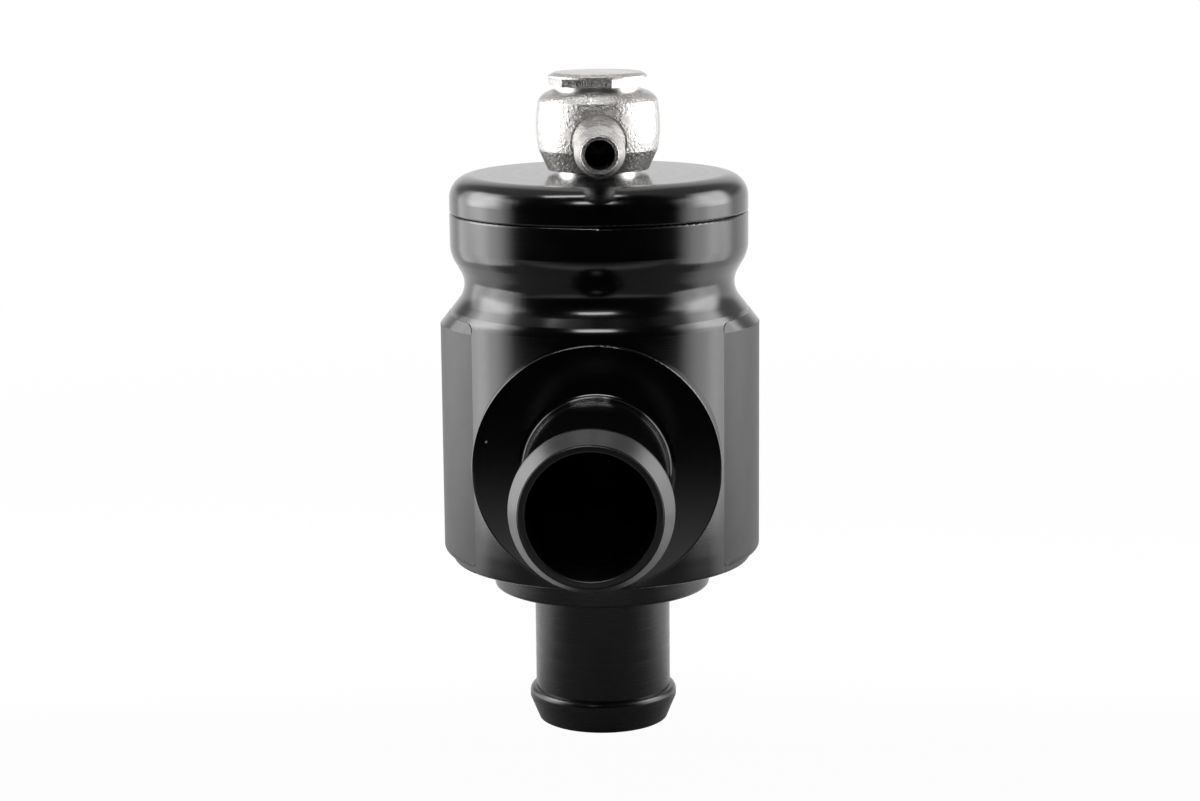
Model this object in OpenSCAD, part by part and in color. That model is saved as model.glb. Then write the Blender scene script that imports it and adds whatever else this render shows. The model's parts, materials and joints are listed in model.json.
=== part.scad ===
// Piston blow-off valve with a hose tail below, a second one at the front and a signal fitting on its cap
// The origin is the centre of the inlet's open end. Z is the valve's axis, and the outlet points along -Y.

/* [Hose tails] */
// Outer radius of both hose shanks
shank_r = 10; // [9:0.1:11.5]
// Wall of both shanks
shank_wall = 1.5; // [1:0.1:2.5]
// Height of the bead over the shank
bead_h = 0.9; // [0.5:0.1:1.4]
// Length of the bead's level crest
bead_land = 0.7; // [0.4:0.1:1.5]
// Length of the taper in front of the bead
lead_l = 3.4; // [2:0.1:5]
// How far the taper ends below the shank's radius
lead_drop = 0.5; // [0.1:0.1:0.8]
// Edge break at the mouths
mouth_break = 0.25; // [0.1:0.05:0.4]
// Length of the inlet shank below its flange
inlet_l = 20.6; // [14:0.1:30]
// Radius of the inlet flange
inlet_flange_r = 15.9; // [15.7:0.1:18]
// Thickness of the inlet flange
inlet_flange_t = 4.3; // [3:0.1:6]
// Chamfer round the inlet flange's lower edge
inlet_flange_chamfer = 0.5; // [0.2:0.1:1]
// Radius of the inlet's screwed stem
inlet_stem_r = 13.2; // [12.6:0.1:13.6]
// Length of the inlet's screwed stem, which ends level with the floor of the chamber
inlet_stem_l = 5.3; // [4:0.1:7]
// Height of the valve seat over the floor of the chamber
seat_h = 2; // [1:0.1:3]
// Width of the valve seat
seat_w = 1.9; // [1.7:0.1:2.2]
// Length of the outlet shank in front of its flange
outlet_l = 29.6; // [20:0.1:40]
// Radius of the outlet flange and of the boss behind it
outlet_flange_r = 17.5; // [16.8:0.05:17.5]
// Thickness of the outlet flange
outlet_flange_t = 1.4; // [1:0.1:2]
// Chamfer round the outlet flange's face
outlet_flange_chamfer = 0.3; // [0.1:0.05:0.5]
// Radius of the outlet's screwed stem
outlet_stem_r = 12; // [11.6:0.1:12.4]
// Fillet where a shank meets its flange
shank_fillet = 1.1; // [0.5:0.1:1.6]

/* [Body] */
// Height of the body from its lower face to the joint with the cap
body_h = 51.3; // [50:0.1:58]
// Radius of the body's round surface
body_r = 22; // [21.9:0.1:23]
// Height of the side pads over that surface
pad_h = 1.3; // [0.6:0.1:2]
// How far the pads' straight edges lie inside the body's radius, seen from the outlet
pad_inset = 4.05; // [3:0.05:5]
// Height of the pads' lower edge over the body's lower face
pad_rise = 1; // [0.6:0.1:3]
// Radius of the pads' corners
pad_corner_r = 0.9; // [0.4:0.1:2]
// Round along the pads' lower edge
pad_foot_r = 1; // [0.4:0.1:1.2]
// How much smaller the collar under the cap and the cap are than the body's radius
collar_inset = 0.3; // [0.1:0.1:0.8]
// Radius of the neck at its narrowest
neck_r = 19.7; // [19.2:0.1:20.2]
// Distance from the joint with the cap down to the neck's narrowest point
neck_drop = 10.4; // [9.5:0.1:11.5]
// Fillet at the bottom of the neck
neck_fillet = 3.8; // [2:0.1:4]
// Slope of the collar's underside from the axis, in degrees
collar_slope = 29.6; // [26:0.2:34]
// Slope of the shoulder from the axis, in degrees
shoulder_slope = 38.3; // [34:0.2:44]
// Round between the collar and its underside
collar_round = 5; // [2:0.5:6]
// Round between the shoulder and the body's round surface
shoulder_round = 2.5; // [1:0.5:4]
// Edge break at the cap joint and at the piston's top
edge_break = 0.35; // [0.1:0.05:0.6]
// Edge break at the body's lower face
foot_break = 0.45; // [0.1:0.05:0.45]
// Height of the outlet's axis above the body's lower face
outlet_rise = 17.7; // [17.7:0.05:19]
// How far the outlet flange's seat lies behind the body's round surface
boss_sink = 0.5; // [0.2:0.1:0.8]
// How much wider the body's port is than the bore of the outlet
port_clear = 0.3; // [0.1:0.1:0.6]

/* [Cap] */
// Thickness of the cap above the joint
cap_t = 5.4; // [4.5:0.1:7]
// Round along the cap's upper edge
cap_round = 3.4; // [1:0.1:4]
// Length of the cap's screwed spigot
cap_spigot_l = 5.2; // [4.6:0.1:5.6]
// Radius of the cap's screwed spigot
cap_spigot_r = 18.4; // [18.3:0.1:18.8]
// Thickness of the cap over the spring
cap_roof_t = 6.3; // [5.5:0.1:7]
// Radius of the boss that takes the hollow bolt
cap_boss_r = 7.6; // [6.6:0.1:7.8]
// Length of that boss below the roof
cap_boss_l = 3.6; // [2.5:0.1:3.9]

/* [Piston] */
// Radius of the cylinder in the body
cylinder_r = 16; // [15.6:0.1:16.2]
// Travel of the piston from shut to fully open, where its skirt meets the cap
lift = 12; // [8:0.5:13]
// Length of the piston's skirt below the lower guide ring
skirt_foot = 4.75; // [3:0.25:5]
// Radius of the piston's nose
nose_r = 11.3; // [11.1:0.1:12]
// Height of the nose's straight edge
nose_edge = 1.9; // [1.8:0.1:3]
// Radius of the cup that holds the spring
cup_r = 11.4; // [11:0.1:11.8]
// Thickness of the cup's floor
cup_floor_t = 5.6; // [4:0.1:7]
// Height of the guide rings
guide_ring_h = 2; // [1.5:0.1:2.4]
// Thickness of the guide rings
guide_ring_t = 1.5; // [1:0.1:1.8]
// Gap where a guide ring is split
guide_ring_split = 0.8; // [0.4:0.1:1.5]
// Height of the slipper seal
slipper_h = 2.2; // [1.8:0.1:2.4]
// Thickness of the slipper seal
slipper_t = 0.9; // [0.6:0.1:1.1]
// Wire radius of the return spring
wire_r = 0.75; // [0.6:0.05:1]
// Mean radius of the return spring's coil
coil_r = 9.4; // [9.2:0.1:9.6]
// Turns of the return spring, with one closed turn at each end
coil_turns = 7.5; // [5:0.5:8]

/* [O-rings] */
// Section radius of the O-ring in the piston's nose
nose_ring_r = 0.85; // [0.7:0.05:0.85]
// Section radius of the O-ring under the slipper seal
energiser_r = 0.75; // [0.6:0.05:0.8]
// Section radius of the O-ring on the cap's spigot
cap_ring_r = 0.65; // [0.5:0.05:0.7]
// Section radius of the O-ring under the inlet flange
inlet_ring_r = 0.6; // [0.4:0.05:0.7]
// Section radius of the O-ring behind the outlet flange
outlet_ring_r = 0.75; // [0.6:0.05:0.8]

/* [Signal fitting] */
// Radius of the fitting's barrel at its widest
barrel_r = 8.95; // [8.5:0.05:10]
// Height of the barrel
barrel_h = 11.45; // [10:0.05:14]
// Radius of the barrel's curved flank
barrel_crown_r = 20; // [14:1:30]
// Height of the barrel's widest point above its lower face
barrel_widest = 6.3; // [5:0.1:7]
// Radius of the barrel's lower face
barrel_foot_r = 7.3; // [6.9:0.1:7.6]
// Slope of the cone above the lower face from the axis, in degrees
barrel_foot_slope = 25; // [20:1:45]
// Round along the barrel's upper edge
barrel_top_round = 2.8; // [1:0.1:2.9]
// Angle of the nipple from the outlet's direction, in degrees
fitting_angle = 2; // [-180:1:180]
// Height of the nipple's axis above the barrel's lower face
nipple_rise = 4.65; // [4.5:0.05:5.5]
// Distance from the valve's axis to the nipple's open end
nipple_reach = 28; // [24:0.1:34]
// Bore radius of the nipple
nipple_bore_r = 2.05; // [1.6:0.05:2.2]
// Wall at the nipple's open end
nipple_wall = 0.6; // [0.4:0.05:0.9]
// Radius of the nipple's barb
barb_r = 3.5; // [3.2:0.05:4]
// Length of the barb's taper
barb_l = 4.2; // [3:0.1:6]
// Length of the barb's level crest
barb_land = 0.7; // [0.4:0.1:1]
// Radius of the nipple's neck behind the barb
nipple_neck_r = 2.8; // [2.7:0.05:3.1]
// Radius of the collar at the nipple's root
nipple_collar_r = 4.05; // [3.7:0.05:4.2]
// Thread radius of the hollow bolt
bolt_r = 5; // [4.8:0.1:5.2]
// Bore radius of the hollow bolt
bolt_bore_r = 2; // [1.6:0.1:2.4]
// Radius of the cross holes in the hollow bolt
cross_hole_r = 1.4; // [1:0.1:1.6]
// Width across the flats of the bolt's head
head_af = 12.7; // [12.6:0.1:15]
// Height of the bolt's head
head_h = 1.9; // [1.8:0.1:4]
// Height of the flats below the head's round top
head_flat_h = 1.2; // [0.8:0.05:1.3]
// Radius of the head's round top
head_top_r = 7.1; // [6.6:0.1:7.3]
// Turn of the head about the axis, in degrees
head_turn = -12.5; // [-30:0.1:30]
// Outer radius of the lower washer
lower_washer_r = 6.15; // [5.8:0.05:7.2]
// Thickness of the lower washer
lower_washer_t = 0.6; // [0.6:0.1:1.5]
// Outer radius of the upper washer
upper_washer_r = 6.2; // [5.8:0.05:6.4]
// Thickness of the upper washer
upper_washer_t = 0.6; // [0.6:0.1:1.5]

/* [Clearances] */
// Radial gap of a moving fit
running_gap = 0.04; // [0.02:0.01:0.08]
// Radial gap of a screwed or pushed joint
joint_gap = 0.03; // [0.02:0.01:0.05]
// Gap between the piston's nose and the seat when the O-ring closes
nose_gap = 0.3; // [0.2:0.05:0.5]
// Gap that is left between the piston's skirt and the cap at full lift
stop_gap = 0.2; // [0.1:0.05:0.4]

/* [Hidden] */
$fn = 96;

// How far a cut runs past the face that it opens
over = 1;
// Share by which an arc runs past the lines that it touches, so that it crosses them cleanly
blend = 1.0005;

// Levels along the valve's axis
body_z = inlet_l + inlet_flange_t;
floor_z = body_z + inlet_stem_l;
seat_z = floor_z + seat_h;
outlet_z = body_z + outlet_rise;
joint_z = body_z + body_h;
neck_z = joint_z - neck_drop;
cap_top_z = joint_z + cap_t;
cap_roof_z = cap_top_z - cap_roof_t;
cap_foot_z = joint_z - cap_spigot_l;
socket_z = cap_foot_z - joint_gap;
barrel_z = cap_top_z + lower_washer_t;
barrel_top_z = barrel_z + barrel_h;
head_z = barrel_top_z + upper_washer_t;
nipple_z = barrel_z + nipple_rise;

// Radii that follow from the driving sizes
tail_bore_r = shank_r - shank_wall;
bead_r = shank_r + bead_h;
collar_r = body_r - collar_inset;
pad_r = body_r + pad_h;
pad_edge = body_r - pad_inset;
pad_z = body_z + pad_rise;
seat_r = tail_bore_r + seat_w;
past_r = pad_r + over;

// Piston, its rings and its seat in the body
nose_z = seat_z + nose_gap;
piston_top_z = cap_roof_z - stop_gap - lift;
skirt_r = cylinder_r - 2 * running_gap;
ring_r = cylinder_r - running_gap;
cup_floor_z = nose_z + cup_floor_t;
ring_margin = 1.1;
upper_ring_z = piston_top_z - ring_margin - guide_ring_h;
lower_ring_z = outlet_z + tail_bore_r + ring_margin / 2;
skirt_z = lower_ring_z - skirt_foot;
slipper_z = (upper_ring_z + lower_ring_z + guide_ring_h - slipper_h) / 2;
upper_split_turn = 90;
lower_split_turn = 150;
cap_bore_clear = 0.35;

// Outlet seat, and its stem, which stops short of the cylinder
boss_y = body_r - boss_sink;
cylinder_web = 0.6;
outlet_stem_l = boss_y - cylinder_r - cylinder_web - joint_gap;
outlet_ring_mid_r = outlet_stem_r + joint_gap + outlet_ring_r;
outlet_groove_r = outlet_ring_mid_r + outlet_ring_r + joint_gap;
outlet_groove_l = 2 * outlet_ring_r + 2 * joint_gap;

// O-ring seats
nose_ring_mid_r = (tail_bore_r + seat_r) / 2;
inlet_ring_mid_r = (inlet_stem_r + inlet_flange_r) / 2;
cap_ring_z = cap_foot_z + 2 * cap_ring_r;
slipper_mid_r = ring_r - slipper_t - joint_gap - energiser_r;

// Neck of the body: the arc at its bottom and where the two slopes leave it
neck_mid = [neck_r + neck_fillet, neck_z];
neck_upper = neck_mid + neck_fillet * [-cos(collar_slope), sin(collar_slope)];
neck_lower = neck_mid + neck_fillet * [-cos(shoulder_slope), -sin(shoulder_slope)];
collar_foot_z = neck_upper.y + (collar_r - neck_upper.x) / tan(collar_slope);
shoulder_foot_z = neck_lower.y - (body_r - neck_lower.x) / tan(shoulder_slope);

// Fitting and bolt
barrel_bore_r = bolt_r + running_gap;
well_depth = 1.3;
well_margin = 0.2;
barrel_well_r = bolt_r + well_depth;
barrel_well_h = 2 * (nipple_bore_r + well_margin);
barrel_mid = [barrel_r - barrel_crown_r, barrel_z + barrel_widest];
barrel_rim_slope = asin((barrel_top_z - barrel_mid.y) / barrel_crown_r);
barrel_rim_r = barrel_mid.x + barrel_crown_r * cos(barrel_rim_slope);
nipple_step_h = 0.6;
nipple_step_drop = 0.3;
nipple_collar_reach = barrel_r + nipple_step_h;
nipple_taper_l = 7;
nipple_taper_reach = nipple_collar_reach + nipple_taper_l;
barb_back_h = 0.3;
bolt_foot_z = cap_roof_z - cap_boss_l - joint_gap;
bolt_bore_past = 4.2;
bolt_bore_top_z = nipple_z + bolt_bore_past;
head_chamfer_slope = 30;
head_face_inset = 0.75;

function direction(angle) = [cos(angle), sin(angle)];

// Sliver between a corner and the arc of radius r that touches both sides of it
// The sides leave the corner along the angles a and b, with b greater than a
module corner_sliver(corner, a, b, r) {
  half = (b - a) / 2;
  touch = r / tan(half);
  mid = corner + r / sin(half) * direction(a + half);
  difference() {
    polygon([
      corner - over / 2 * direction(a + half),
      corner + touch * direction(a),
      mid,
      corner + touch * direction(b)
    ]);
    translate(mid) circle(r * blend);
  }
}

// Rectangle of a profile, from the inner to the outer radius and from the lower to the upper level
module band(inner, outer, low, high) {
  translate([inner, low]) square([outer - inner, high - low]);
}

module turned_ring(inner, outer, low, high) {
  rotate_extrude() band(inner, outer, low, high);
}

module o_ring(mid_r, section_r, z) {
  rotate_extrude() translate([mid_r, z]) circle(section_r, $fn = 32);
}

// Places a shape that is turned about Z so that it points along the outlet
module along_outlet() {
  translate([0, 0, outlet_z]) rotate([90, 0, 0]) children();
}

// Half profile of a hose shank whose open end lies at level 0 and whose flange face lies at level l
module shank_profile(l) {
  tip_r = shank_r - lead_drop;
  crest = lead_l + bead_land;
  difference() {
    union() {
      band(0, shank_r, lead_l, l + over / 2);
      polygon([[0, 0], [tip_r, 0], [bead_r, lead_l], [bead_r, crest], [0, crest]]);
      translate([shank_r, crest]) circle(bead_h * blend, $fn = 48);
      corner_sliver([shank_r, l], 270, 360, shank_fillet);
    }
    corner_sliver([tip_r, 0], 90, 180, mouth_break);
    corner_sliver([tail_bore_r, 0], 0, 90, mouth_break);
  }
}

module inlet_tail() {
  ring_half_w = inlet_ring_r + joint_gap;
  groove_z = body_z - 2 * ring_half_w;
  color("#1d1d1f") rotate_extrude() difference() {
    union() {
      shank_profile(inlet_l);
      band(0, inlet_flange_r, inlet_l, body_z);
      band(0, inlet_stem_r, inlet_l, floor_z);
      band(0, seat_r, inlet_l, seat_z);
    }
    corner_sliver([inlet_flange_r, inlet_l], 90, 180, inlet_flange_chamfer);
    band(inlet_ring_mid_r - ring_half_w, inlet_ring_mid_r + ring_half_w, groove_z, body_z + over);
    band(-over, tail_bore_r, -over, seat_z + over);
  }
}

module inlet_o_ring() {
  color("#151515") o_ring(inlet_ring_mid_r, inlet_ring_r, body_z - joint_gap - inlet_ring_r);
}

module outlet_tail() {
  tip = boss_y + outlet_flange_t + outlet_l;
  stem_end = outlet_stem_l + outlet_flange_t + outlet_l;
  color("#1d1d1f") along_outlet() translate([0, 0, tip]) mirror([0, 0, 1]) rotate_extrude() difference() {
    union() {
      shank_profile(outlet_l);
      band(0, outlet_flange_r, outlet_l, outlet_l + outlet_flange_t);
      band(0, outlet_stem_r, outlet_l, stem_end);
    }
    corner_sliver([outlet_flange_r, outlet_l], 90, 180, outlet_flange_chamfer);
    band(-over, tail_bore_r, -over, stem_end + over);
  }
}

module outlet_o_ring() {
  depth = boss_y - joint_gap - outlet_ring_r;
  color("#151515") along_outlet() o_ring(outlet_ring_mid_r, outlet_ring_r, depth);
}

// V-shaped groove of the neck, with the arc at its bottom
module neck_groove() {
  upper_run = (past_r - neck_upper.x) / sin(collar_slope);
  lower_run = (past_r - neck_lower.x) / sin(shoulder_slope);
  translate(neck_mid) circle(neck_fillet * blend);
  polygon([
    neck_mid,
    neck_upper,
    neck_upper + upper_run * direction(90 - collar_slope),
    neck_lower + lower_run * direction(shoulder_slope - 90),
    neck_lower
  ]);
}

module body_turning() {
  rotate_extrude() difference() {
    union() {
      band(0, body_r, body_z, neck_z);
      band(0, collar_r, neck_z, joint_z);
    }
    neck_groove();
    corner_sliver([collar_r, collar_foot_z], 90, 270 - collar_slope, collar_round);
    corner_sliver([body_r, shoulder_foot_z], 90 + shoulder_slope, 270, shoulder_round);
    corner_sliver([body_r, body_z], 90, 180, foot_break);
    corner_sliver([collar_r, joint_z], 180, 270, edge_break);
  }
}

// Raised pads on the body's two sides, cut off straight at the front and at the back
module side_pads() {
  for (side = [0, 180]) {
    rotate([0, 0, side]) intersection() {
      rotate_extrude() difference() {
        band(body_r - over, pad_r, pad_z, neck_z);
        neck_groove();
        corner_sliver([pad_r, pad_z], 90, 180, pad_foot_r);
      }
      rotate([90, 0, 0]) linear_extrude(2 * past_r, center = true) difference() {
        band(pad_edge, past_r, pad_z - over, shoulder_foot_z);
        corner_sliver([pad_edge, pad_z], 0, 90, pad_corner_r);
        corner_sliver([pad_edge, shoulder_foot_z], 270, 360, pad_corner_r);
      }
    }
  }
}

module valve_body() {
  stem_hole_y = boss_y - outlet_stem_l - joint_gap;
  groove_y = boss_y - outlet_groove_l;
  color("#1d1d1f") difference() {
    union() {
      body_turning();
      side_pads();
      along_outlet() cylinder(r = outlet_flange_r, h = boss_y);
    }
    // Recess that the outlet flange sits in, where the body's round surface stands in front of the seat
    along_outlet() translate([0, 0, boss_y]) cylinder(r = outlet_flange_r + joint_gap, h = past_r - boss_y);
    // Screwed hole, O-ring seat and passage of the outlet
    along_outlet() {
      translate([0, 0, stem_hole_y]) cylinder(r = outlet_stem_r + joint_gap, h = boss_y);
      translate([0, 0, groove_y]) cylinder(r = outlet_groove_r, h = outlet_groove_l + over);
      cylinder(r = tail_bore_r + port_clear, h = boss_y);
    }
    // Screwed hole of the inlet, cylinder and socket of the cap
    rotate_extrude() {
      band(0, inlet_stem_r + joint_gap, body_z - over, floor_z + over);
      band(0, cylinder_r, floor_z, joint_z);
      band(0, cap_spigot_r + joint_gap, socket_z, joint_z + over);
    }
  }
}

module cap() {
  groove_half_h = cap_ring_r + joint_gap;
  groove_floor_r = cap_spigot_r - 2 * cap_ring_r - joint_gap;
  color("#1b1b1d") rotate_extrude() difference() {
    union() {
      band(0, collar_r, joint_z, cap_top_z);
      band(0, cap_spigot_r, cap_foot_z, cap_top_z - cap_round);
    }
    corner_sliver([collar_r, cap_top_z], 180, 270, cap_round);
    corner_sliver([collar_r, joint_z], 90, 180, edge_break);
    band(groove_floor_r, collar_r, cap_ring_z - groove_half_h, cap_ring_z + groove_half_h);
    difference() {
      band(-over, cylinder_r + cap_bore_clear, cap_foot_z - over, cap_roof_z);
      band(-2 * over, cap_boss_r, cap_roof_z - cap_boss_l, cap_roof_z + over);
    }
    band(-over, bolt_r + joint_gap, cap_foot_z - cap_boss_l, cap_top_z + over);
  }
}

module cap_o_ring() {
  color("#151515") o_ring(cap_spigot_r - cap_ring_r, cap_ring_r, cap_ring_z);
}

module piston() {
  nose_half_w = nose_ring_r + joint_gap;
  guide_floor_r = ring_r - guide_ring_t - joint_gap;
  slipper_floor_r = slipper_mid_r - energiser_r - joint_gap;
  color("#b9bbbd") rotate_extrude() difference() {
    polygon([
      [0, nose_z],
      [nose_r, nose_z],
      [nose_r, nose_z + nose_edge],
      [skirt_r, skirt_z],
      [skirt_r, piston_top_z],
      [cup_r, piston_top_z],
      [cup_r, cup_floor_z],
      [0, cup_floor_z]
    ]);
    corner_sliver([skirt_r, piston_top_z], 180, 270, edge_break);
    band(guide_floor_r, past_r, upper_ring_z - joint_gap, upper_ring_z + guide_ring_h + joint_gap);
    band(guide_floor_r, past_r, lower_ring_z - joint_gap, lower_ring_z + guide_ring_h + joint_gap);
    band(slipper_floor_r, past_r, slipper_z - joint_gap, slipper_z + slipper_h + joint_gap);
    band(nose_ring_mid_r - nose_half_w, nose_ring_mid_r + nose_half_w, seat_z, seat_z + 2 * nose_half_w);
  }
}

// Split ring that guides the piston
module guide_ring(z, turn) {
  difference() {
    turned_ring(ring_r - guide_ring_t, ring_r, z, z + guide_ring_h);
    rotate([0, 0, turn]) translate([0, -guide_ring_split / 2, z - over]) {
      cube([past_r, guide_ring_split, guide_ring_h + 2 * over]);
    }
  }
}

module upper_guide_ring() {
  color("#c9b58a") guide_ring(upper_ring_z, upper_split_turn);
}

module lower_guide_ring() {
  color("#c9b58a") guide_ring(lower_ring_z, lower_split_turn);
}

module piston_seal() {
  color("#e8e6df") turned_ring(ring_r - slipper_t, ring_r, slipper_z, slipper_z + slipper_h);
}

module seal_energiser() {
  color("#151515") o_ring(slipper_mid_r, energiser_r, slipper_z + slipper_h / 2);
}

module nose_o_ring() {
  color("#151515") o_ring(nose_ring_mid_r, nose_ring_r, seat_z + joint_gap + nose_ring_r);
}

// Round wire swept along a coil with one closed turn at each end
module return_spring() {
  sides = 8;
  steps = 20;
  rings = coil_turns * steps;
  low = cup_floor_z + wire_r + joint_gap;
  high = cap_roof_z - wire_r - joint_gap;
  closed = 2 * wire_r + joint_gap;
  function level(t) =
    t < 1 ? low + closed * t
    : t > coil_turns - 1 ? high - closed * (coil_turns - t)
    : low + closed + (high - low - 2 * closed) * (t - 1) / (coil_turns - 2);
  function wire_point(ring, side) =
    let (t = ring / steps)
    let (a = 360 * side / sides)
    let (r = coil_r + wire_r * cos(a))
    [r * cos(360 * t), r * sin(360 * t), level(t) + wire_r * sin(a)];
  function index(ring, side) = ring * sides + side % sides;
  points = [for (ring = [0:rings], side = [0:sides - 1]) wire_point(ring, side)];
  first_end = [for (side = [0:sides - 1]) index(0, side)];
  last_end = [for (side = [sides - 1:-1:0]) index(rings, side)];
  first_half = [
    for (ring = [0:rings - 1], side = [0:sides - 1])
      [index(ring, side), index(ring + 1, side), index(ring + 1, side + 1)]
  ];
  second_half = [
    for (ring = [0:rings - 1], side = [0:sides - 1])
      [index(ring, side), index(ring + 1, side + 1), index(ring, side + 1)]
  ];
  color("#8f9194") polyhedron(points, concat([first_end, last_end], first_half, second_half));
}

module lower_washer() {
  color("#c4c5c6") turned_ring(bolt_r + joint_gap, lower_washer_r, cap_top_z, barrel_z);
}

module upper_washer() {
  color("#c4c5c6") turned_ring(bolt_r + joint_gap, upper_washer_r, barrel_top_z, head_z);
}

// Half profile of the nipple along its own axis, from inside the barrel to its open end
module nipple_profile() {
  barb_z = nipple_reach - barb_l;
  tip_r = nipple_bore_r + nipple_wall;
  difference() {
    polygon([
      [0, barrel_bore_r + over],
      [nipple_collar_r, barrel_bore_r + over],
      [nipple_collar_r, nipple_collar_reach],
      [nipple_collar_r - nipple_step_drop, nipple_collar_reach],
      [nipple_collar_r - nipple_step_drop, nipple_collar_reach + nipple_step_h],
      [nipple_neck_r, nipple_taper_reach],
      [nipple_neck_r, barb_z - barb_land - barb_back_h],
      [barb_r, barb_z - barb_land],
      [barb_r, barb_z],
      [tip_r, nipple_reach],
      [0, nipple_reach]
    ]);
    corner_sliver([tip_r, nipple_reach], 180, 270, mouth_break);
  }
}

// Barrel of the fitting, with a curved flank, a cone below and a round upper edge
module barrel_profile() {
  cone_h = (barrel_r - barrel_foot_r) / tan(barrel_foot_slope);
  difference() {
    intersection() {
      band(0, barrel_r + over, barrel_z, barrel_top_z);
      translate(barrel_mid) circle(barrel_crown_r);
    }
    polygon([
      [barrel_foot_r, barrel_z - over],
      [barrel_foot_r, barrel_z],
      [barrel_r, barrel_z + cone_h],
      [barrel_r + over, barrel_z + cone_h],
      [barrel_r + over, barrel_z - over]
    ]);
    corner_sliver([barrel_rim_r, barrel_top_z], 180, 270 + barrel_rim_slope, barrel_top_round);
  }
}

module banjo_fitting() {
  color("#c9c6bd") rotate([0, 0, fitting_angle]) difference() {
    union() {
      rotate_extrude() barrel_profile();
      translate([0, 0, nipple_z]) rotate([90, 0, 0]) rotate_extrude() nipple_profile();
    }
    translate([0, 0, barrel_z - over]) cylinder(r = barrel_bore_r, h = barrel_h + 2 * over);
    translate([0, 0, nipple_z - barrel_well_h / 2]) cylinder(r = barrel_well_r, h = barrel_well_h);
    translate([0, 0, nipple_z]) rotate([90, 0, 0]) {
      cylinder(r = nipple_bore_r, h = nipple_reach + over, $fn = 48);
    }
  }
}

module banjo_bolt() {
  flat_z = head_z + head_flat_h;
  top_z = head_z + head_h;
  rim_z = top_z - head_face_inset * tan(head_chamfer_slope);
  color("#cfcdc6") difference() {
    union() {
      translate([0, 0, head_z]) rotate([0, 0, head_turn]) {
        cylinder(r = head_af / sqrt(3), h = head_flat_h, $fn = 6);
      }
      rotate_extrude() polygon([
        [0, flat_z],
        [head_top_r, flat_z],
        [head_top_r, rim_z],
        [head_top_r - head_face_inset, top_z],
        [0, top_z]
      ]);
      translate([0, 0, bolt_foot_z]) cylinder(r = bolt_r, h = head_z + head_h / 2 - bolt_foot_z);
    }
    translate([0, 0, bolt_foot_z - over]) {
      cylinder(r = bolt_bore_r, h = bolt_bore_top_z - bolt_foot_z + over);
    }
    for (turn = [0, 90]) {
      translate([0, 0, nipple_z]) rotate([90, 0, turn]) {
        cylinder(r = cross_hole_r, h = 4 * bolt_r, center = true);
      }
    }
  }
}

valve_body();
cap();
inlet_tail();
outlet_tail();
banjo_fitting();
banjo_bolt();
upper_washer();
lower_washer();
piston();
piston_seal();
seal_energiser();
upper_guide_ring();
lower_guide_ring();
nose_o_ring();
return_spring();
cap_o_ring();
inlet_o_ring();
outlet_o_ring();
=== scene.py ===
import json
import math
import bmesh
import bpy
from mathutils import Matrix, Vector

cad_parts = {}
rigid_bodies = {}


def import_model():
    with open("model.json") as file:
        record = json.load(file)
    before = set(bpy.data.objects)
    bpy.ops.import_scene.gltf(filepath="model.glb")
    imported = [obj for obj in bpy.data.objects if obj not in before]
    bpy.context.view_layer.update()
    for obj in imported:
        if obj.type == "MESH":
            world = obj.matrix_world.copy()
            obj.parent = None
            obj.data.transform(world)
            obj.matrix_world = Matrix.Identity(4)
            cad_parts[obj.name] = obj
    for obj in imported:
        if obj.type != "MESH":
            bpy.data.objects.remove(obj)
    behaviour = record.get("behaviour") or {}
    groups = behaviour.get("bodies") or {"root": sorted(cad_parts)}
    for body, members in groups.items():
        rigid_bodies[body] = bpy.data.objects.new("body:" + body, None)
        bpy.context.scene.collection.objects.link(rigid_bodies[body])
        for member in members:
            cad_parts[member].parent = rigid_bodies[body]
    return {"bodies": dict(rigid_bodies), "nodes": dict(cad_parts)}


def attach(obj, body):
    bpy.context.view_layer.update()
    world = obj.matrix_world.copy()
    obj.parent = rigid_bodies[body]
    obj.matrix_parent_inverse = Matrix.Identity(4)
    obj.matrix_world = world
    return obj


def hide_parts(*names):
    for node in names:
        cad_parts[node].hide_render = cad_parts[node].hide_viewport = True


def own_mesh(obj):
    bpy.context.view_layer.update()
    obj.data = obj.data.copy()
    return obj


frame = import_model()
nodes = frame["nodes"]

# the start-up file's own cube, lamp and camera go
keptObjects = set(nodes.values()) | set(frame["bodies"].values())
for oldObject in [item for item in bpy.data.objects if item not in keptObjects]:
    bpy.data.objects.remove(oldObject)
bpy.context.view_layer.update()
scene = bpy.context.scene
print("frame loaded,", len(nodes), "nodes")


# camera, fitted to the photograph in the part's own frame
photoCamera = {
    "place": (0.0107, -0.3923, 0.12226),
    "lens": 81.43,     # mm, on a 36 mm wide sensor
    "sensor": 36.0,
    "nearest": 0.01,   # metres from which things are seen
    "pitch": 0.187,    # radians down
    "yaw": -0.0275,
    "roll": -0.0095,
}


def addCamera(spec):
    pitch, yaw, roll = spec["pitch"], spec["yaw"], spec["roll"]
    ahead = Vector((math.sin(yaw) * math.cos(pitch), math.cos(yaw) * math.cos(pitch), -math.sin(pitch)))
    level = Vector((math.cos(yaw), -math.sin(yaw), 0))
    upright = level.cross(ahead)
    side = math.cos(roll) * level + math.sin(roll) * upright
    up = math.cos(roll) * upright - math.sin(roll) * level
    camera = bpy.data.objects.new("photoCamera", bpy.data.cameras.new("photoCamera"))
    camera.data.sensor_width = spec["sensor"]
    camera.data.lens = spec["lens"]
    camera.data.clip_start = spec["nearest"]
    turn = Matrix((side, up, -ahead)).transposed().to_4x4()
    camera.matrix_world = Matrix.Translation(spec["place"]) @ turn
    scene.collection.objects.link(camera)
    scene.camera = camera


addCamera(photoCamera)
scene.view_settings.view_transform = "Standard"
print("camera placed")


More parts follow.
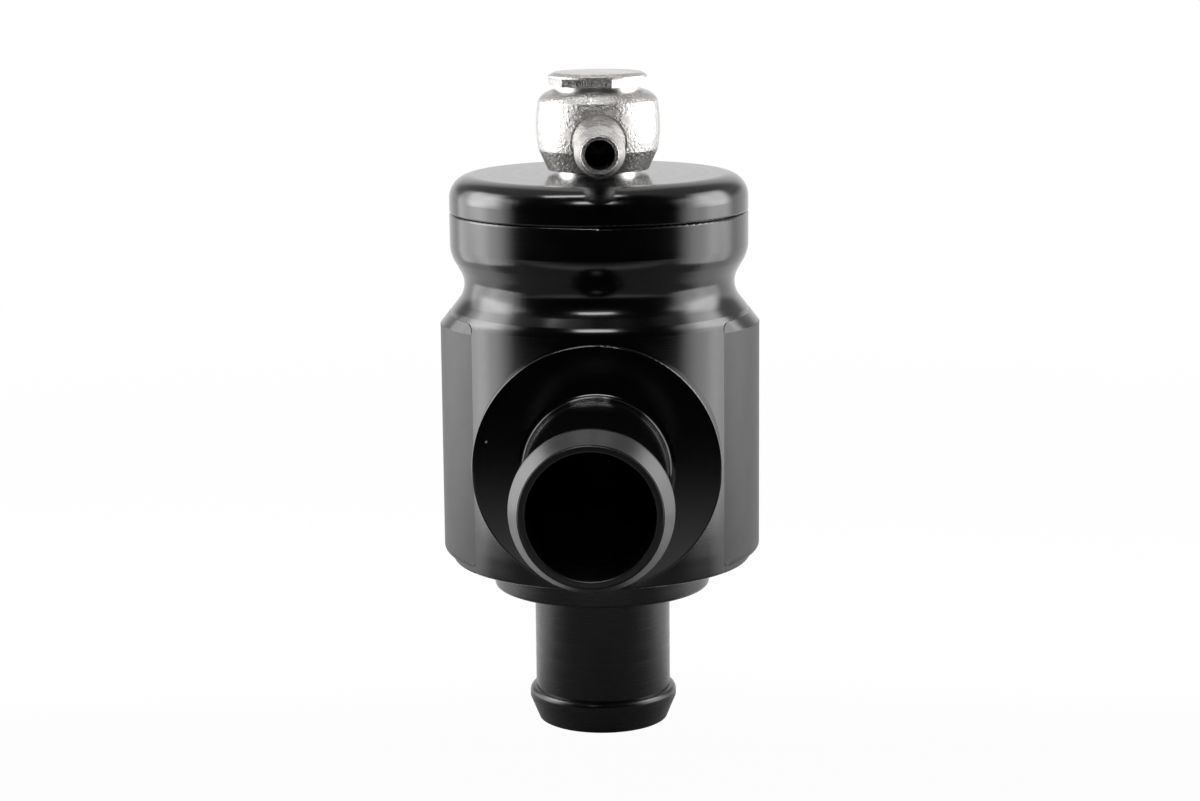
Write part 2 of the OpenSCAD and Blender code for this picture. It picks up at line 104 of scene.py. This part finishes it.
# small helpers for node trees; a value is a number, a colour or the output of another node
def feed(tree, socket, value):
    if isinstance(value, bpy.types.NodeSocket):
        tree.links.new(value, socket)
    else:
        socket.default_value = value


def addNode(tree, kind, inputs=None, **settings):
    node = tree.nodes.new(kind)
    for name, value in settings.items():
        setattr(node, name, value)
    for name, value in (inputs or {}).items():
        feed(tree, node.inputs[name], value)
    return node


def addMath(tree, operation, first, second=0.0, third=0.0):
    inputs = {0: first, 1: second, 2: third}
    return addNode(tree, "ShaderNodeMath", inputs, operation=operation).outputs[0]


def addRange(tree, value, low, high, newLow=0.0, newHigh=1.0):
    inputs = dict(enumerate((value, low, high, newLow, newHigh)))
    return addNode(tree, "ShaderNodeMapRange", inputs, interpolation_type="SMOOTHSTEP").outputs[0]


# a value that a noise moves up and down round its middle
def addSpread(tree, noise, middle, span):
    return addMath(tree, "MULTIPLY_ADD", noise, span, middle - span / 2)


def addMix(tree, factor, first, second):
    node = addNode(tree, "ShaderNodeMix", data_type="RGBA")
    for name, value in (("Factor_Float", factor), ("A_Color", first), ("B_Color", second)):
        feed(tree, next(s for s in node.inputs if s.identifier == name), value)
    return next(s for s in node.outputs if s.identifier == "Result_Color")


def splitAxes(tree, vector):
    return addNode(tree, "ShaderNodeSeparateXYZ", {"Vector": vector}).outputs


def addNoise(tree, coords, scale, detail, roughness=0.5):
    inputs = {"Vector": coords, "Scale": scale, "Detail": detail, "Roughness": roughness}
    return addNode(tree, "ShaderNodeTexNoise", inputs).outputs[0]


def addLineNoise(tree, place, detail):
    inputs = {"W": place, "Scale": 1.0, "Detail": detail}
    return addNode(tree, "ShaderNodeTexNoise", inputs, noise_dimensions="1D").outputs[0]


def grey(level, warmth=0.0):
    return (level * (1 + warmth), level, level * (1 - warmth), 1.0)


def newGroup(name, inputs, outputs):
    group = bpy.data.node_groups.new(name, "ShaderNodeTree")
    group.interface.new_socket("Vector", in_out="INPUT", socket_type="NodeSocketVector")
    for label, value in inputs.items():
        socket = group.interface.new_socket(label, in_out="INPUT", socket_type="NodeSocketFloat")
        socket.default_value = value
    for label in outputs:
        group.interface.new_socket(label, in_out="OUTPUT", socket_type="NodeSocketFloat")
    return group, group.nodes.new("NodeGroupInput").outputs, group.nodes.new("NodeGroupOutput").inputs


# fine rings that a lathe leaves, round the Z axis of the coordinates that come in
ringNoise = {"lines": 6000.0, "fineDetail": 2.0, "broadDetail": 1.0, "broadShare": 0.13}


def makeTurnedLines(spec):
    group, entry, result = newGroup("turnedLines", {"Lines per metre": spec["lines"]}, ("Height", "Streak"))
    axes = splitAxes(group, entry["Vector"])
    squares = [addMath(group, "POWER", axes[name], 2.0) for name in "XY"]
    radius = addMath(group, "SQRT", addMath(group, "ADD", *squares))
    along = addMath(group, "ADD", radius, axes["Z"])
    place = addMath(group, "MULTIPLY", along, entry["Lines per metre"])
    slow = addMath(group, "MULTIPLY", place, spec["broadShare"])
    feed(group, result["Height"], addLineNoise(group, place, spec["fineDetail"]))
    feed(group, result["Streak"], addLineNoise(group, slow, spec["broadDetail"]))
    return group


# pits and grain of a surface that was blasted, dyed or cast
grainNoise = {
    "grains": 3000.0,
    "fineDetail": 4.0, "fineRoughness": 0.62,
    "cloudShare": 0.06, "cloudDetail": 3.0, "cloudRoughness": 0.55,
}


def makeGrain(spec):
    group, entry, result = newGroup("grain", {"Grains per metre": spec["grains"]}, ("Height", "Cloud"))
    coords, grains = entry["Vector"], entry["Grains per metre"]
    slow = addMath(group, "MULTIPLY", grains, spec["cloudShare"])
    fine = addNoise(group, coords, grains, spec["fineDetail"], spec["fineRoughness"])
    cloud = addNoise(group, coords, slow, spec["cloudDetail"], spec["cloudRoughness"])
    feed(group, result["Height"], fine)
    feed(group, result["Cloud"], cloud)
    return group


# a few specks of lint: small ragged dots in some of the cells of a grid of random points
lintSpecks = {
    "cells": 260.0,
    "share": 0.12,      # of the cells that hold a speck
    "size": 0.045,
    "smallest": 0.4,    # share of that size
    "ragged": 0.05, "raggedScale": 2500.0, "raggedDetail": 1.0,
}


def makeSpecks(spec):
    inputs = {"Cells per metre": spec["cells"], "Share": spec["share"], "Size": spec["size"]}
    group, entry, result = newGroup("specks", inputs, ("Mask",))
    coords = entry["Vector"]
    bent = addNoise(group, coords, spec["raggedScale"], spec["raggedDetail"])
    cells = addNode(group, "ShaderNodeTexVoronoi", {
        "Vector": coords, "Scale": entry["Cells per metre"], "Randomness": 1.0})
    chosen = addNode(group, "ShaderNodeSeparateColor", {"Color": cells.outputs["Color"]}).outputs
    picked = addMath(group, "LESS_THAN", chosen["Red"], entry["Share"])
    distance = addMath(group, "SUBTRACT", cells.outputs["Distance"], spec["ragged"] / 2)
    ragged = addMath(group, "MULTIPLY_ADD", bent, spec["ragged"], distance)
    growth = addMath(group, "ADD", chosen["Green"], spec["smallest"])
    dot = addMath(group, "LESS_THAN", ragged, addMath(group, "MULTIPLY", entry["Size"], growth))
    feed(group, result["Mask"], addMath(group, "MULTIPLY", picked, dot))
    return group


turnedLines = makeTurnedLines(ringNoise)
grain = makeGrain(grainNoise)
specks = makeSpecks(lintSpecks)
print("shared effects made")

noiseSpan = (0.3, 0.7)   # most of a noise's values lie between these


def newMaterial(name, **constants):
    material = bpy.data.materials.new(name)
    material.use_nodes = True
    tree = material.node_tree
    shader = tree.nodes["Principled BSDF"]
    for label, value in constants.items():
        shader.inputs[label.replace("_", " ")].default_value = value
    return material, tree, shader


def useGroup(tree, group, coords, **inputs):
    values = {name.replace("_", " "): value for name, value in inputs.items()}
    return addNode(tree, "ShaderNodeGroup", {"Vector": coords, **values}, node_tree=group).outputs


def objectCoords(tree, turn=(0, 0, 0), place=(0, 0, 0)):
    coords = addNode(tree, "ShaderNodeTexCoord").outputs["Object"]
    mapping = addNode(tree, "ShaderNodeMapping", {"Vector": coords, "Location": place, "Rotation": turn})
    return mapping.outputs["Vector"]


def setSurface(tree, shader, colour, rough, height=None, bump=None):
    feed(tree, shader.inputs["Base Color"], colour)
    feed(tree, shader.inputs["Roughness"], rough)
    if bump:
        strength, distance = bump
        inputs = {"Height": height, "Strength": strength, "Distance": distance}
        feed(tree, shader.inputs["Normal"], addNode(tree, "ShaderNodeBump", inputs).outputs["Normal"])


# black anodised aluminium
anodise = {
    "black": 0.0016,
    "tones": (0.7, 1.9),       # darkest and lightest share of that black
    "blue": 0.04,              # how blue the lightest is
    "cloud": (0.05, 0.6),      # how far the clouds of the dye go from one to the other
    "dust": 0.32,
    "dustRough": 0.5,
    "ior": 1.62,
    "streaks": 0.07,           # how far the lathe's streaks change the gloss
    "lines": 5200.0,
    "grains": 5200.0,
    "pits": 0.35,              # height of the grain, where that of the lines is 1
    "bump": (0.12, 0.00002),
}
capFinish = dict(anodise, gloss=0.14)
inletFinish = dict(anodise, gloss=0.27)

# the outlet's bead is duller than its flange, and its lines run round the outlet's axis
outletFinish = dict(anodise, gloss=0.13, mouthGloss=0.33, mouth=(-0.0455, -0.0440))
outletAxis = {"turn": (math.pi / 2, 0, 0), "place": (0, 0.0426, 0)}

# the body's raised pads are blasted, so they are rougher
padFinish = {
    "padGloss": 0.46,
    "padCloud": 0.1,
    "padFront": (0.01793, 0.01797),   # how far to the sides the pads start
    "padTop": (0.0599, 0.0601),
}
bodyFinish = dict(anodise, gloss=0.17, **padFinish)


def makeAnodise(name, spec, turn=(0, 0, 0), place=(0, 0, 0)):
    material, tree, shader = newMaterial(name, IOR=spec["ior"])
    coords = objectCoords(tree, turn, place)
    axes = splitAxes(tree, coords)
    lines = useGroup(tree, turnedLines, coords, Lines_per_metre=spec["lines"])
    pits = useGroup(tree, grain, coords, Grains_per_metre=spec["grains"])
    lint = useGroup(tree, specks, coords)["Mask"]
    darkest, lightest = (spec["black"] * share for share in spec["tones"])
    cloud = addRange(tree, pits["Cloud"], *noiseSpan, *spec["cloud"])
    tone = addMix(tree, cloud, grey(darkest), grey(lightest, -spec["blue"]))
    colour = addMix(tree, lint, tone, grey(spec["dust"]))
    rough = addSpread(tree, lines["Streak"], spec["gloss"], spec["streaks"])
    if "padFront" in spec:
        aside = addRange(tree, addMath(tree, "ABSOLUTE", axes["X"]), *spec["padFront"])
        below = addRange(tree, axes["Z"], *reversed(spec["padTop"]))
        pad = addMath(tree, "MULTIPLY", aside, below)
        blasted = addSpread(tree, pits["Cloud"], spec["padGloss"], spec["padCloud"])
        rough = addMath(tree, "MULTIPLY_ADD", pad, addMath(tree, "SUBTRACT", blasted, rough), rough)
    if "mouth" in spec:
        mouth = addRange(tree, axes["Z"], *reversed(spec["mouth"]))
        rough = addMath(tree, "MULTIPLY_ADD", mouth, spec["mouthGloss"] - spec["gloss"], rough)
    rough = addMath(tree, "MULTIPLY_ADD", lint, spec["dustRough"], rough)
    height = addMath(tree, "MULTIPLY_ADD", pits["Height"], spec["pits"], lines["Height"])
    setSurface(tree, shader, colour, rough, height, spec["bump"])
    return material


# nickel plate over a cast and tumbled surface, with a fine pebbled grain
nickelFinish = {
    "bright": 0.66, "dull": 0.46, "warmth": 0.03,
    "rough": (0.15, 0.3), "patches": (0.35, 0.65),
    "grains": 2600.0, "bump": (1.0, 0.00016),
}


def makeNickel(name, spec):
    material, tree, shader = newMaterial(name, Metallic=1.0)
    pebbles = useGroup(tree, grain, objectCoords(tree), Grains_per_metre=spec["grains"])
    dull, bright = (grey(spec[level], spec["warmth"]) for level in ("dull", "bright"))
    colour = addMix(tree, addRange(tree, pebbles["Height"], *noiseSpan), dull, bright)
    rough = addRange(tree, pebbles["Cloud"], *spec["patches"], *spec["rough"])
    setSurface(tree, shader, colour, rough, pebbles["Height"], spec["bump"])
    return material


# bare turned aluminium of the piston and the washers
turnedFinish = {"light": 0.78, "dark": 0.62, "rough": (0.22, 0.36), "lines": 4200.0, "bump": (0.2, 0.00003)}


def makeTurnedMetal(name, spec):
    material, tree, shader = newMaterial(name, Metallic=1.0)
    lines = useGroup(tree, turnedLines, objectCoords(tree), Lines_per_metre=spec["lines"])
    colour = addMix(tree, lines["Streak"], grey(spec["dark"]), grey(spec["light"]))
    rough = addRange(tree, lines["Streak"], *noiseSpan, *spec["rough"])
    setSurface(tree, shader, colour, rough, lines["Height"], spec["bump"])
    return material


# moulded plastic and rubber
mouldedSkin = {"grains": 2600.0, "bump": (0.2, 0.00004)}
softFinishes = {
    "slipperPlastic": {"dark": (0.74, 0.72, 0.66, 1), "light": (0.84, 0.82, 0.77, 1), "rough": (0.4, 0.55)},
    "guidePlastic": {"dark": (0.50, 0.36, 0.17, 1), "light": (0.62, 0.47, 0.25, 1), "rough": (0.45, 0.6)},
    "sealRubber": {"dark": (0.009, 0.009, 0.009, 1), "light": (0.02, 0.02, 0.021, 1), "rough": (0.45, 0.65)},
}

# drawn spring wire
wireFinish = {"light": grey(0.5), "dark": grey(0.34), "rough": (0.3, 0.45), "grains": 1800.0}


def makeGrained(name, spec, **constants):
    material, tree, shader = newMaterial(name, **constants)
    pits = useGroup(tree, grain, objectCoords(tree), Grains_per_metre=spec["grains"])
    colour = addMix(tree, pits["Cloud"], spec["dark"], spec["light"])
    rough = addRange(tree, pits["Height"], *noiseSpan, *spec["rough"])
    setSurface(tree, shader, colour, rough, pits["Height"], spec.get("bump"))
    return material


bodyBlack = makeAnodise("bodyBlack", bodyFinish)
capBlack = makeAnodise("capBlack", capFinish)
inletBlack = makeAnodise("inletBlack", inletFinish)
outletBlack = makeAnodise("outletBlack", outletFinish, **outletAxis)
nickel = makeNickel("nickelPlate", nickelFinish)
turnedMetal = makeTurnedMetal("turnedMetal", turnedFinish)
soft = {name: makeGrained(name, dict(mouldedSkin, **spec)) for name, spec in softFinishes.items()}
springWire = makeGrained("springWire", wireFinish, Metallic=1.0)

nodeFinish = {
    "valve_body": bodyBlack, "cap": capBlack, "inlet_tail": inletBlack, "outlet_tail": outletBlack,
    "banjo_fitting": nickel, "banjo_bolt": nickel,
    "upper_washer": turnedMetal, "lower_washer": turnedMetal, "piston": turnedMetal,
    "piston_seal": soft["slipperPlastic"], "upper_guide_ring": soft["guidePlastic"],
    "lower_guide_ring": soft["guidePlastic"], "seal_energiser": soft["sealRubber"],
    "nose_o_ring": soft["sealRubber"], "cap_o_ring": soft["sealRubber"], "inlet_o_ring": soft["sealRubber"],
    "outlet_o_ring": soft["sealRubber"], "return_spring": springWire,
}
for name, material in nodeFinish.items():
    slots = nodes[name].data.materials
    slots.clear()
    slots.append(material)
print("finishes on", len(nodeFinish), "nodes")


# a merged copy of a CAD node's mesh, in which the split edges stay sharp
mergeReach = 1e-7


def copyShape(name):
    shape = bmesh.new()
    shape.from_mesh(nodes[name].data)
    for edge in shape.edges:
        edge.smooth = edge.smooth and not edge.is_boundary
    bmesh.ops.remove_doubles(shape, verts=shape.verts, dist=mergeReach)
    return shape


def addPiece(name, shape, material):
    mesh = bpy.data.meshes.new(name)
    shape.to_mesh(mesh)
    shape.free()
    mesh.materials.append(material)
    piece = bpy.data.objects.new(name, mesh)
    scene.collection.objects.link(piece)
    return piece


# the body again, with pads that run out flush along their upright edges
flushPads = {
    "bodyRadius": 0.022,
    "padRadius": 0.0233,
    "edge": 0.0179,      # only what lies further out to the sides is a pad
    "depth": 0.857,      # share of the pads' depth along Y that is left
}


def makeFlushBody(spec):
    shape = copyShape("valve_body")
    padHeight = spec["padRadius"] - spec["bodyRadius"]
    for vert in shape.verts:
        proud = (math.hypot(vert.co.x, vert.co.y) - spec["bodyRadius"]) / padHeight
        if abs(vert.co.x) > spec["edge"] and proud > 0:
            vert.co.y *= 1 - proud * (1 - spec["depth"])
    body = addPiece("flushBody", shape, bodyBlack)
    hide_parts("valve_body")
    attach(body, "housing")


makeFlushBody(flushPads)
print("pads made flush")


def makeLiveSpring():
    shape = copyShape("return_spring")
    spring = addPiece("liveSpring", shape, springWire)
    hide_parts("return_spring")
    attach(spring, "housing")
    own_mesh(spring)


makeLiveSpring()
print("spring made")


# white paper under the valve, which ends in front of it; its colour holds painted shade, darker towards its
# front end and darker again just in front of the valve
paper = {
    "side": 3.0,
    "front": -0.215,
    "back": 4.0,
    # Y and grey of the paper's painted shade, from its front end to behind the valve
    "paintedShades": ((-0.21, 0.06), (-0.135, 0.75), (-0.10, 0.13), (-0.012, 0.13), (0.02, 0.86)),   # Y and shade
    "glow": (0.97, 1.0),         # share of plain white that the camera sees near the valve and far from it
    "glowReach": (0.12, 0.45),   # where that share starts and ends to grow
    "glossFrom": (-0.02, 0.10),  # how far forward a reflection still sees the paper as plain white
}


# a colour ramp along Y that paints shade into the paper
def addPaintedShades(tree, along, paintedShades):
    first, length = paintedShades[0][0], paintedShades[-1][0] - paintedShades[0][0]
    share = addMath(tree, "DIVIDE", addMath(tree, "SUBTRACT", along, first), length)
    ramp = addNode(tree, "ShaderNodeValToRGB", {"Fac": share})
    stops = ramp.color_ramp.elements
    stops[0].color, stops[1].color = grey(paintedShades[0][1]), grey(paintedShades[-1][1])
    for place, shade in paintedShades[1:-1]:
        stops.new((place - first) / length).color = grey(shade)
    return ramp.outputs["Color"]


def addFloor(spec):
    side, front, back = spec["side"], spec["front"], spec["back"]
    corners = [(-side, front, 0), (side, front, 0), (side, back, 0), (-side, back, 0)]
    mesh = bpy.data.meshes.new("floor")
    mesh.from_pydata(corners, [], [(0, 1, 2, 3)])
    floor = bpy.data.objects.new("floor", mesh)
    scene.collection.objects.link(floor)
    material, tree, shader = newMaterial("floorPaper", Roughness=0.9, Specular_IOR_Level=0.1)
    coords = objectCoords(tree)
    depth = splitAxes(tree, coords)["Y"]
    # the paper's base colour is painted shade along Y
    feed(tree, shader.inputs["Base Color"], addPaintedShades(tree, depth, spec["paintedShades"]))
    glow = addNode(tree, "ShaderNodeEmission", {"Color": grey(1.0), "Strength": 1.0})
    ray = addNode(tree, "ShaderNodeLightPath").outputs
    mirrored = addMath(tree, "MULTIPLY", ray["Is Glossy Ray"], addRange(tree, depth, *spec["glossFrom"]))
    direct = addMath(tree, "MAXIMUM", ray["Is Camera Ray"], ray["Is Transmission Ray"])
    away = addNode(tree, "ShaderNodeVectorMath", {0: coords}, operation="LENGTH").outputs["Value"]
    white = addRange(tree, away, *spec["glowReach"], *spec["glow"])
    share = addMath(tree, "MULTIPLY", addMath(tree, "MAXIMUM", direct, mirrored), white)
    blend = addNode(tree, "ShaderNodeMixShader", {0: share, 1: shader.outputs[0], 2: glow.outputs[0]})
    feed(tree, tree.nodes["Material Output"].inputs["Surface"], blend.outputs[0])
    mesh.materials.append(material)


addFloor(paper)
print("floor laid")


# room: white behind the valve, dark in front of it, and darker above and at the sides
room = {
    "aloftFade": (0.9, 0.985),       # sines of the height above the horizon
    "aloftDark": 0.2,
    "wallFade": (0.05, 0.25),
    "wallDark": 0.35,
    "backdropEdge": (-0.97, -0.85),  # cosines of the angle from the camera's side
    "frontEdge": (-0.1, 0.5),
    "frontDark": 0.004,
    "pole": 1.0001,                  # a little over 1, so that nothing is divided by zero straight up
}


def addWorld(spec):
    world = bpy.data.worlds.new("studioWorld")
    scene.world = world
    world.use_nodes = True
    tree = world.node_tree
    axes = splitAxes(tree, addNode(tree, "ShaderNodeTexCoord").outputs["Generated"])
    square = addMath(tree, "POWER", axes["Z"], 2.0)
    level = addMath(tree, "SQRT", addMath(tree, "SUBTRACT", spec["pole"], square))
    ahead = addMath(tree, "DIVIDE", addMath(tree, "MULTIPLY", axes["Y"], -1.0), level)
    aloft = addRange(tree, axes["Z"], *spec["aloftFade"])
    backdrop = addMix(tree, aloft, grey(1.0), grey(spec["aloftDark"]))
    above = addRange(tree, axes["Z"], *spec["wallFade"])
    wall = addMix(tree, above, grey(1.0), grey(spec["wallDark"]))
    behind = addMix(tree, addRange(tree, ahead, *spec["backdropEdge"]), backdrop, wall)
    around = addMix(tree, addRange(tree, ahead, *spec["frontEdge"]), behind, grey(spec["frontDark"]))
    ray = addNode(tree, "ShaderNodeLightPath").outputs
    seen = addMath(tree, "MAXIMUM", ray["Is Camera Ray"], ray["Is Transmission Ray"])
    sky = tree.nodes["Background"]
    feed(tree, sky.inputs["Color"], addMix(tree, seen, around, grey(1.0)))
    sky.inputs["Strength"].default_value = 1.0


addWorld(room)
print("room made")


# softboxes with a bright core at both sides; values in pairs are for the left and the right
sidePanels = {
    "sideFront": {
        "away": 0.15, "front": (-0.088, -0.098), "back": (0.052, 0.042), "low": -0.05, "top": 0.2,
        "shine": (2.5, 2.1), "fade": (0.067, 0.05), "lean": 0.0,
    },
    "sideRear": {
        "away": 0.16, "front": (-0.02, -0.03), "back": (0.15, 0.10), "low": -0.05, "top": 0.2,
        "shine": (1.25, 1.3), "fade": (0.045, 0.05), "lean": 0.0,
    },
    "sideCore": {
        "away": 0.14, "front": (-0.039, -0.039), "back": (0.082, 0.082), "low": 0.06, "top": 0.21,
        "shine": (3.0, 2.6), "fade": (0.035, 0.035), "lean": 0.37,
    },
}

# two lamps above
highPanels = {
    "frontLamp": {
        "place": (-0.02, -0.46, 0.50), "aim": (0, 0, 0.07), "size": (0.32, 0.12),
        "shine": 8.0, "fade": (0.04, 0.03),
    },
    "topLamp": {
        "place": (-0.08, -0.11, 0.58), "aim": (-0.08, -0.09, 0), "size": (0.40, 0.11),
        "shine": 7.0, "fade": (0.04, 0.03),
    },
}
wattsPerArea = 4.0   # for each square metre of a lamp with a shine of 1


# a lamp whose light fades towards its edges, as a cloth front does
def addPanel(name, place, aim, size, shine, fade, lean=0.0):
    lamp = bpy.data.lights.new(name, "AREA")
    lamp.shape = "RECTANGLE"
    lamp.size, lamp.size_y = size
    lamp.energy = wattsPerArea * size[0] * size[1] * shine
    lamp.use_nodes = True
    tree = lamp.node_tree
    axes = splitAxes(tree, addNode(tree, "ShaderNodeNewGeometry").outputs["Parametric"])
    level = 1.0
    for axis, width, length in zip("XY", fade, size):
        nearEdge = addMath(tree, "MINIMUM", axes[axis], addMath(tree, "SUBTRACT", 1.0, axes[axis]))
        level = addMath(tree, "MULTIPLY", level, addRange(tree, nearEdge, 0.0, width / length))
    feed(tree, tree.nodes["Emission"].inputs["Strength"], level)
    holder = bpy.data.objects.new(name, lamp)
    turn = (Vector(aim) - Vector(place)).to_track_quat("-Z", "Y").to_matrix().to_4x4()
    holder.matrix_world = Matrix.Translation(place) @ Matrix.Rotation(-lean, 4, "X") @ turn
    scene.collection.objects.link(holder)


def addSidePanels(name, spec):
    height = (spec["low"] + spec["top"]) / 2
    sides = zip((-1, 1), ("Left", "Right"), spec["front"], spec["back"], spec["shine"])
    for side, label, front, back, shine in sides:
        middle = (front + back) / 2
        size = (back - front, spec["top"] - spec["low"])
        place = (side * spec["away"], middle, height)
        addPanel(name + label, place, (0, middle, height), size, shine, spec["fade"], spec["lean"])


for name, spec in sidePanels.items():
    addSidePanels(name, spec)
for name, spec in highPanels.items():
    addPanel(name, **spec)
print("studio lit")
